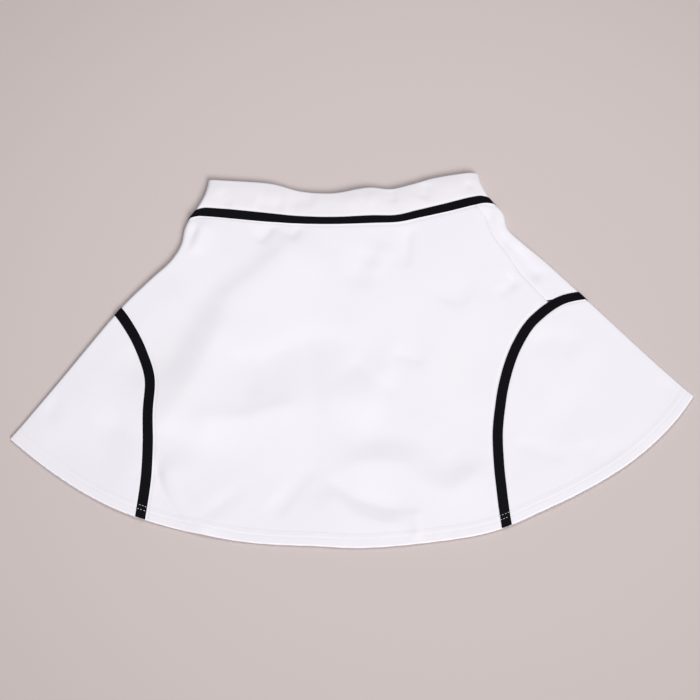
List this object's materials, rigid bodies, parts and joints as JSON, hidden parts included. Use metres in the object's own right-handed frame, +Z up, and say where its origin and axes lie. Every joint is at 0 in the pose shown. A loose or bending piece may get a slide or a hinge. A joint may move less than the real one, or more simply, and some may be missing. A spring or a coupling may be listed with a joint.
{
  "type": "tennis skirt",
  "caption": "Flared tennis skirt in plain knit with contrast tapes round the waist and arched side panels, laid flat.",
  "frame": {"origin": "centre of the bounding box in plan, on the surface that the skirt lies on", "axes": "+X to the right of the front as it is looked at from the hem, +Y from the hem towards the waist, +Z up out of the surface, through the layers"},
  "size_m": [0.67, 0.4087, 0.0065],
  "materials": {
    "white_knit": "matte stretch knit with a faint sheen",
    "white_elastic": "matte knit over elastic, softly wavy",
    "black_tape": "woven tape, slightly satin"
  },
  "bodies": {
    "root": {"front_panel": "white_knit", "back_panel": "white_knit", "side_panel_left": "white_knit", "side_panel_right": "white_knit", "arch_tape_left": "black_tape", "arch_tape_right": "black_tape", "waist_tape": "black_tape", "waistband": "white_elastic"}
  },
  "joints": []
}
